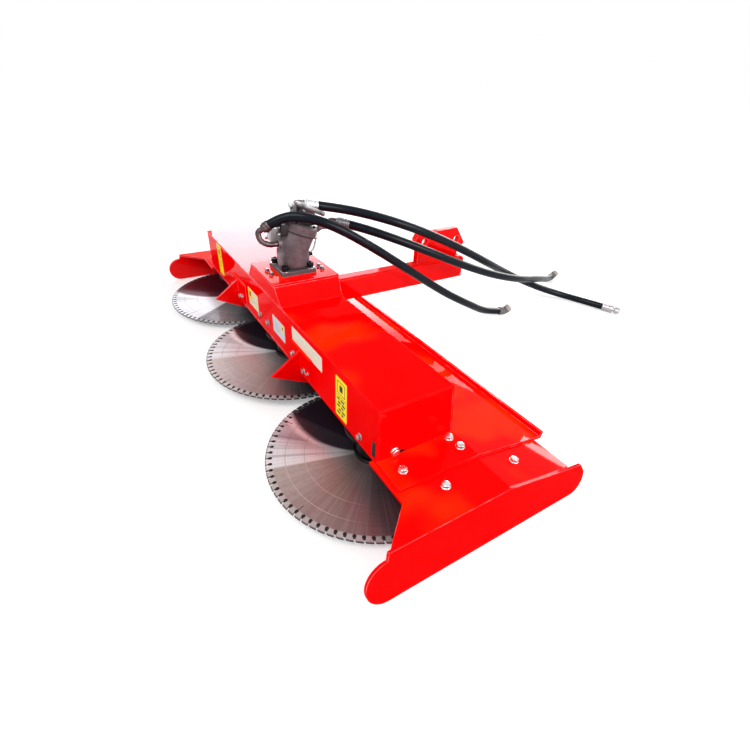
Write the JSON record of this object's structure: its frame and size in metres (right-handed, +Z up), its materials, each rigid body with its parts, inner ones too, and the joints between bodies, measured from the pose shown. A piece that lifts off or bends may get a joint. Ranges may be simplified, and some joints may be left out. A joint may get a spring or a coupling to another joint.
{
  "type": "tree trimmer saw head",
  "caption": "Boom-carried tree trimmer saw head: hooded steel beam with coplanar toothed saw blades, end skids, guide fingers, hydraulic motor, hoses and pinned arm.",
  "frame": {"origin": "on the floor below the middle of the object's own length and width, hoses left out", "axes": "+Z up, X along the beam with +X at the near end, +Y from the blades towards the boom arm"},
  "size_m": [1.9292, 1.9115, 0.5693],
  "materials": {
    "red_paint": "gloss",
    "blade_steel": "brushed",
    "hub_steel": "turned, oiled",
    "motor_iron": "rough cast",
    "fitting_zinc": "zinc plated",
    "hose_rubber": "satin",
    "end_cap": "matte"
  },
  "bodies": {
    "head": {"base_plate": "red_paint", "hood_cover": "red_paint", "front_panel": "red_paint", "hood_end_near": "red_paint", "hood_end_far": "red_paint", "end_shoe_near": "red_paint", "end_shoe_far": "red_paint", "finger_near": "red_paint", "finger_far": "red_paint", "motor_stand": "red_paint", "stand_top_plate": "red_paint", "arm_tube": "red_paint", "arm_end_cap": "red_paint", "arm_ear": "red_paint", "spindle_housing_near": "hub_steel", "spindle_housing_mid": "hub_steel", "spindle_housing_far": "hub_steel", "motor_flange": "motor_iron", "motor_body": "motor_iron", "motor_cap": "motor_iron", "ferrule_a": "fitting_zinc", "ferrule_b": "fitting_zinc", "ferrule_c": "fitting_zinc", "elbow_a": "fitting_zinc", "elbow_b": "fitting_zinc", "elbow_c": "fitting_zinc", "hose_end_c": "fitting_zinc", "hose_a": "hose_rubber", "hose_b": "hose_rubber", "hose_c": "hose_rubber", "hose_end_a": "end_cap", "hose_end_b": "end_cap"},
    "blade_unit_near": {"spindle_near": "hub_steel", "saw_blade_near": "blade_steel", "blade_clamp_near": "hub_steel"},
    "blade_unit_mid": {"spindle_mid": "hub_steel", "saw_blade_mid": "blade_steel", "blade_clamp_mid": "hub_steel"},
    "blade_unit_far": {"spindle_far": "hub_steel", "saw_blade_far": "blade_steel", "blade_clamp_far": "hub_steel"}
  },
  "joints": [
    {"name": "blade_spin_mid", "type": "hinge", "parent": "head", "child": "blade_unit_mid", "pos_m": [0, -0.234, 0.08], "axis": [0, 0, 1], "continuous": true},
    {"name": "blade_spin_near", "type": "hinge", "parent": "head", "child": "blade_unit_near", "pos_m": [0.592, -0.234, 0.08], "axis": [0, 0, 1], "continuous": true},
    {"name": "blade_spin_far", "type": "hinge", "parent": "head", "child": "blade_unit_far", "pos_m": [-0.592, -0.234, 0.08], "axis": [0, 0, 1], "continuous": true}
  ],
  "couplings": [
    {"joint": "blade_spin_near", "follows": "blade_spin_mid", "ratio": 1},
    {"joint": "blade_spin_far", "follows": "blade_spin_mid", "ratio": 1}
  ]
}
